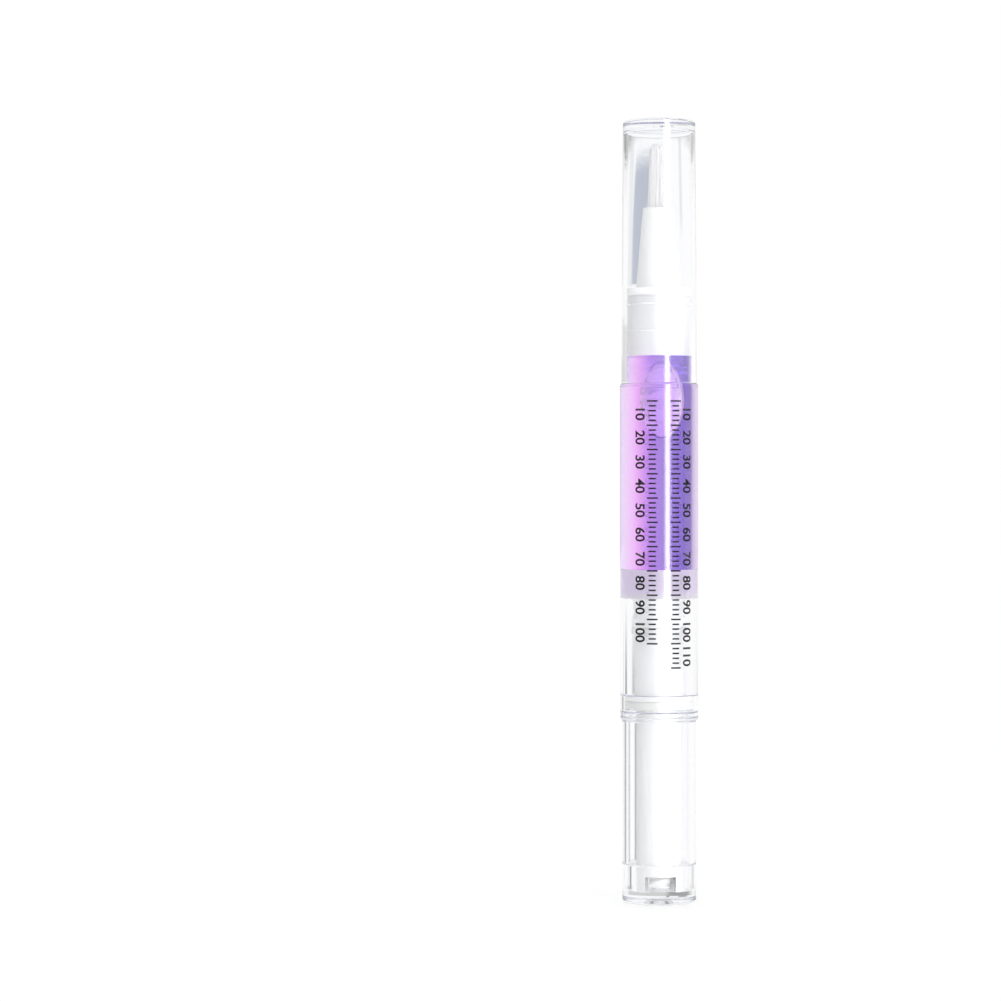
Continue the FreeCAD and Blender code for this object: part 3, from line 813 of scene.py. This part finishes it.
barb_rear = piston_rear + 1.0
barb_radius = screw_radius * 0.81
barb_neck = barb_radius * 0.7
barb_overlap, barb_slope = 0.3, 0.5
barb_mesh = turned_mesh([
    (0, screw_shoulder - barb_overlap), (barb_neck, screw_shoulder - barb_overlap), (barb_neck, barb_rear),
    (barb_radius, barb_rear + barb_slope), (barb_radius, barb_front, 0.8), (0, barb_front)],
    screw_plastic, ring=False, facets=64)
place_piece("lead_screw_thread", thread_mesh(), "screw", "white_moulding", "lead_screw")
place_piece("lead_screw_barb", barb_mesh, "screw", "white_moulding", "lead_screw")

# Piston with two wiping lips and a cupped face
hub_radius = barb_radius + 1.0
skirt_radius = piston_lip_radius - 0.85
waist_radius = piston_lip_radius - 0.37
pocket_top = piston_rear + 3.2
rear_lip_top, waist_low = piston_rear + 1.3, piston_rear + 1.8
waist_high, front_lip_low = oil_cup_floor - 0.9, oil_cup_floor - 0.4
piston_heel = nut_front + 0.03
cup_wall_radius = bore_radius + oil_skin
cup_floor = oil_cup_floor - press_gap
socket_radius, socket_neck = barb_radius + running_gap, barb_neck + running_gap
socket_top, socket_low = barb_front + running_gap, barb_rear - running_gap
piston_mesh = turned_mesh([
    (0, socket_top), (socket_radius, socket_top, 0.8), (socket_radius, socket_low + barb_slope),
    (socket_neck, socket_low), (socket_neck, piston_rear), (hub_radius, piston_rear, 0.12),
    (hub_radius, pocket_top, 0.3), (skirt_radius, pocket_top, 0.3), (skirt_radius, piston_heel, 0.12),
    (piston_lip_radius, piston_heel, 0.15), (piston_lip_radius, rear_lip_top, 0.3),
    (waist_radius, waist_low, 0.3), (waist_radius, waist_high, 0.2), (cup_wall_radius, front_lip_low, 0.2),
    (cup_wall_radius, piston_front, 0.05), (cup_radius, piston_front, 0.05), (cup_radius, cup_floor, 0.6),
    (0, cup_floor)], milky_piston, ring=False)
place_piece("milky_piston", piston_mesh, "piston", "milky_piston", "piston")


# Oil: the column that gets shorter, with its bubble, and the part that stays in the piston's cup
def with_bubble(mesh):
    """Adds a long hollow near the front wall, whose faces point into it."""
    rows, around = 40, 64
    points = []
    for row in range(rows + 1):
        along = math.cos(math.pi * row / rows)
        z = (bubble_high + bubble_low + (bubble_high - bubble_low) * along) / 2
        radius = bubble_radius * math.sqrt(max(0.0, 1 - along * along))
        points.append((radius, z))
    work = bmesh.new()
    work.from_mesh(mesh)
    rings = []
    for radius, z in points[1:-1]:
        rings.append([work.verts.new(Vector((
            radius * math.cos(2 * math.pi * k / around) + bubble_right,
            radius * math.sin(2 * math.pi * k / around) - bubble_forward, z)) * MM) for k in range(around)])
    top = work.verts.new(Vector((bubble_right, -bubble_forward, bubble_high)) * MM)
    tip = work.verts.new(Vector((bubble_right, -bubble_forward, bubble_low)) * MM)
    faces = []
    for k in range(around):
        j = (k + 1) % around
        faces.append(work.faces.new((top, rings[0][k], rings[0][j])))
        faces.append(work.faces.new((tip, rings[-1][j], rings[-1][k])))
        for upper, lower in zip(rings, rings[1:]):
            faces.append(work.faces.new((upper[k], lower[k], lower[j], upper[j])))
    bmesh.ops.recalc_face_normals(work, faces=faces)
    bmesh.ops.reverse_faces(work, faces=faces)
    for face in faces:
        face.smooth = True
        face.material_index = 1
    work.to_mesh(mesh)
    work.free()
    mesh.materials.append(bubble_skin)
    return mesh


column_rear = piston_front + press_gap
column_mesh = turned_mesh([
    (0, column_rear), (cup_wall_radius, column_rear, 0.05), (cup_wall_radius, oil_front, 0.05),
    (0, oil_front)], violet_oil, ring=False)
oil_column = place_piece("violet_oil_column", with_bubble(column_mesh), "barrel", "violet_oil", "oil_charge")
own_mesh(oil_column)
cup_mesh = turned_mesh([
    (0, oil_cup_floor), (cup_radius - press_gap, oil_cup_floor, 0.6),
    (cup_radius - press_gap, piston_front, 0.05), (0, piston_front)], violet_oil, ring=False)
place_piece("violet_oil_in_cup", cup_mesh, "piston", "violet_oil", "oil_charge")

# Front plug with its two sealing grooves
plug_body = bore_radius + 0.02
ring_groove = bore_radius - 0.03
oil_hole = 0.6
spigot_outer = nozzle_base_radius - 1.35
tube_hole = tube_radius + press_gap
tube_seat = tube_rear - press_gap
flange_low, flange_high = neck_top + press_gap, nozzle_rear - press_gap
grooves = [bead(plug_body, ring_groove, neck_top - depth, 0.05, 0.08) for depth in (5.9, 1.5)]
plug_mesh = turned_mesh([
    (oil_hole, plug_rear), (plug_body, plug_rear, 0.1), *grooves[0], *grooves[1], (plug_body, flange_low),
    (neck_radius, flange_low, 0.12), (neck_radius, flange_high, 0.25), (spigot_outer, flange_high),
    (spigot_outer, plug_spigot_front, 0.15), (tube_hole, plug_spigot_front), (tube_hole, tube_seat),
    (oil_hole, tube_seat)], milky_plug)
place_piece("milky_front_plug", plug_mesh, "barrel", "milky_plug", "front_plug")

# Nozzle
nozzle_wall = 0.82
pocket_radius, pocket_floor = brush_radius + press_gap, root_rear - press_gap
nozzle_bore, nozzle_seat = spigot_outer + press_gap, plug_spigot_front + press_gap
nozzle_mesh = turned_mesh([
    (nozzle_bore, nozzle_rear), (nozzle_base_radius, nozzle_rear, 0.15),
    (brush_radius + nozzle_wall, nozzle_front, 0.3), (pocket_radius, nozzle_front, 0.12),
    (pocket_radius, pocket_floor), (tube_hole, pocket_floor), (tube_hole, nozzle_seat),
    (nozzle_bore, nozzle_seat)], white_moulding)
place_piece("white_nozzle", nozzle_mesh, "barrel", "white_moulding", "nozzle")

# Brush
hair_radius = 0.055
tip_narrowing = 0.28
tuft_mesh = grow(
    tuft_tree, bpy.data.meshes.new("start"), bristles=520, seed=11, finish=bristle_fibre,
    inner_radius=(tube_hole + hair_radius + 0.02) * MM, outer_radius=(brush_radius - hair_radius) * MM,
    tip_radius=(brush_radius - tip_narrowing - hair_radius) * MM, root_height=brush_rear * MM,
    straight_height=(tube_front + 0.2) * MM, tip_height=brush_front * MM, tip_round=0.7 * MM,
    hair_radius=hair_radius * MM)
place_piece("bristle_tuft", outward(tuft_mesh), "barrel", "bristle_fibre", "bristles")

# Pieces of the frame that stay, with finishes of their own
for node, finish in (("feed_tube", tube_plastic), ("brush_root", root_plastic),
                     ("ratchet_ring", ratchet_plastic), ("click_spring", ratchet_plastic)):
    kept_mesh = frame["nodes"][node].data
    if kept_mesh.materials:
        kept_mesh.materials[0] = finish
    else:
        kept_mesh.materials.append(finish)


# Print
def numeral_mesh(text, angle, height):
    """Printed number that reads along the pen, wrapped on the barrel."""
    words = bpy.data.curves.new("numeral", "FONT")
    words.body = text
    words.size = numeral_size
    words.offset = numeral_weight
    words.align_x = "CENTER"
    words.align_y = "CENTER"
    mesh = plain_mesh(show("numeral", words))
    for vert in mesh.vertices:
        along, across = vert.co.x, vert.co.y
        turn = math.radians(angle) + across / barrel_radius
        reach = barrel_radius + print_lift
        vert.co = Vector((reach * math.sin(turn), -reach * math.cos(turn), height - along)) * MM
    return mesh


def joined(meshes, finish):
    """One mesh from several."""
    work = bmesh.new()
    for mesh in meshes:
        work.from_mesh(mesh)
    made = bpy.data.meshes.new("joined")
    work.to_mesh(made)
    work.free()
    return finished(made, finish)


for number, (angle, lowest, kind) in enumerate(scale_columns, 1):
    steps = int((print_top - lowest) / scale_step)
    if kind == "ticks":
        column = grow(
            tick_tree, bpy.data.meshes.new("start"), marks=5 * steps + 1, pitch=scale_step / 5 * MM,
            lowest=(print_top - steps * scale_step) * MM, barrel_radius=(barrel_radius + print_lift) * MM,
            angle=math.radians(angle), width=tick_width * MM,
            thickness=tick_thickness * MM, finish=black_print)
    else:
        heights = [print_top - (k + 0.5) * scale_step for k in range(steps)]
        numerals = [numeral_mesh(str(10 * k + 10), angle, height) for k, height in enumerate(heights)]
        column = joined(numerals, black_print)
    place_piece(f"scale_print_{number}", column, "barrel", "clear_shell")


# Floor that is white to the camera and keeps the pen's shadow
def make_floor():
    """Wide pale sheet under the pen."""
    mesh = bpy.data.meshes.new("floor")
    half, drop, glow_share = 3.0, -2e-5, 0.285
    mesh.from_pydata([(x, y, drop) for x, y in oblong(-half, half, half)], [], [(0, 1, 2, 3)])
    finish, tree = new_finish("pale_floor")
    paint = add(tree, "ShaderNodeBsdfDiffuse", {"Color": (0.80, 0.80, 0.80, 1)})
    path = add(tree, "ShaderNodeLightPath").outputs
    seen = maths(tree, "MAXIMUM", path["Is Camera Ray"], path["Is Glossy Ray"])
    seen = maths(tree, "MAXIMUM", seen, path["Is Transmission Ray"])
    seen = maths(tree, "MULTIPLY", seen, maths(tree, "LESS_THAN", path["Diffuse Depth"], 0.5))
    strength = maths(tree, "MULTIPLY", seen, glow_share)
    glow = add(tree, "ShaderNodeEmission", {"Color": (1, 1, 1, 1), "Strength": strength})
    both = add(tree, "ShaderNodeAddShader", {0: paint.outputs[0], 1: glow.outputs[0]})
    add(tree, "ShaderNodeOutputMaterial", {"Surface": both.outputs[0]})
    mesh.materials.append(finish)
    floor = show("floor", mesh)
    floor.visible_transmission = False
    floor.visible_shadow = False


make_floor()


# Studio: white all round for what is seen through the pen, with a few grey cards, and an even light on it
even_light = 0.91
cards = (
    # middle and half width of the azimuth from straight behind towards the left, its lean with height,
    # lowest and highest sine of the elevation, softness of the sides, softness of the ends, tone
    (2.6, 3.4, -95.0, 0.076, 0.123, 1.0, 0.006, (0.42, 0.46, 0.55)),
    (9.5, 4.0, 0.0, 0.070, 0.140, 1.5, 0.006, (0.80, 0.80, 0.82)),
    (-8.6, 0.7, 0.0, 0.100, 0.135, 0.4, 0.006, (0.80, 0.80, 0.81)),
    (27.0, 7.5, 0.0, -0.170, -0.048, 1.5, 0.02, (0.34, 0.34, 0.35)),
    (6.2, 1.7, 0.0, -0.170, -0.048, 0.7, 0.02, (0.38, 0.38, 0.39)),
    (0.0, 50.0, 0.0, -0.150, -0.1318, 4.0, 0.0016, (0.62, 0.62, 0.61)),
    (23.0, 17.0, 0.0, -0.150, -0.1318, 4.0, 0.0016, (0.33, 0.33, 0.33)),
    (0.0, 50.0, 0.0, 0.1315, 0.150, 3.0, 0.004, (0.54, 0.54, 0.53)),
    (22.0, 13.0, 0.0, 0.1315, 0.150, 4.0, 0.006, (0.22, 0.22, 0.22)),
    (-80.0, 12.0, 0.0, -0.030, 0.052, 3.0, 0.006, (0.55, 0.52, 0.60)),
)

# Grey sheet behind the oil, graded from right to left by azimuth
sheet_low, sheet_high = -0.026, 0.0505
sheet_greys = ((-66.0, 1.15), (-29.0, 1.04), (-10.0, 0.84), (20.0, 0.66), (45.0, 0.76), (64.0, 1.0))
sheet_tones = [(azimuth, (grey, grey, grey)) for azimuth, grey in sheet_greys]


def make_world():
    """World that the camera sees as white."""
    world = bpy.data.worlds.new("studio")
    scene.world = world
    world.use_nodes = True
    tree = world.node_tree
    tree.nodes.clear()
    direction = add(tree, "ShaderNodeTexCoord").outputs["Generated"]
    way = add(tree, "ShaderNodeSeparateXYZ", {0: direction}).outputs
    azimuth = maths(tree, "ARCTAN2", maths(tree, "MULTIPLY", way["X"], -1.0), way["Y"])
    azimuth = maths(tree, "DEGREES", azimuth)
    sheet = between(tree, way["Z"], sheet_low, sheet_high, 0.002)
    tone = blend(tree, sheet, (1, 1, 1, 1), graded(tree, azimuth, sheet_tones))
    for middle, half, lean, low, high, soft, soft_end, colour in cards:
        shifted = maths(tree, "ADD", azimuth, lean * (low + high) / 2)
        upright = maths(tree, "MULTIPLY_ADD", way["Z"], -lean, shifted)
        mask = maths(tree, "MULTIPLY", between(tree, upright, middle - half, middle + half, soft),
                     between(tree, way["Z"], low, high, soft_end))
        tone = blend(tree, mask, tone, (*colour, 1))
    path = add(tree, "ShaderNodeLightPath").outputs
    seen = maths(tree, "MAXIMUM", path["Is Glossy Ray"], path["Is Transmission Ray"])
    seen = maths(tree, "MULTIPLY", seen, maths(tree, "LESS_THAN", path["Diffuse Depth"], 0.5))
    tone = blend(tree, seen, (even_light, even_light, even_light, 1), tone)
    tone = blend(tree, path["Is Camera Ray"], tone, (1, 1, 1, 1))
    sky = add(tree, "ShaderNodeBackground", {"Color": tone, "Strength": 1.0})
    add(tree, "ShaderNodeOutputWorld", {"Surface": sky.outputs[0]})


make_world()


def add_softbox(name, azimuth, distance, height, width, tall, radiance, is_gloss):
    """Rectangular lamp that faces the pen, for its highlights or for its even light.

    Azimuth is from the camera's side towards the right.
    """
    lamp = bpy.data.lights.new(name, "AREA")
    lamp.shape = "RECTANGLE"
    lamp.size = width
    lamp.size_y = tall
    lamp.energy = radiance * math.pi * width * tall
    box = show(name, lamp)
    turn = math.radians(azimuth)
    box.location = (distance * math.sin(turn), -distance * math.cos(turn), height)
    middle = Vector((0, 0, cap_top * MM / 2))
    box.rotation_euler = (box.location - middle).to_track_quat("Z", "Y").to_euler()
    box.visible_camera = False
    box.visible_transmission = False
    box.visible_glossy = is_gloss
    box.visible_diffuse = not is_gloss


add_softbox("streak_right", 22.0, 0.60, 0.07, 0.13, 0.75, 12.0, True)
add_softbox("streak_glow", 22.0, 0.62, 0.07, 0.25, 0.75, 4.5, True)
add_softbox("key_right", 38.0, 0.80, 0.25, 0.50, 0.70, 0.38, False)

# Camera at the photograph's angle
camera_data = bpy.data.cameras.new("camera")
camera_data.lens = 105
camera_data.sensor_width = 36
camera = show("camera", camera_data)
camera.location = (-0.02646, -0.4871, 0.0668)
camera.rotation_euler = (math.radians(90), 0, 0)
scene.camera = camera

scene.view_settings.view_transform = "Standard"
scene.cycles.max_bounces = 128
scene.cycles.diffuse_bounces = 8
scene.cycles.glossy_bounces = 112
scene.cycles.transmission_bounces = 48
scene.cycles.transparent_max_bounces = 32
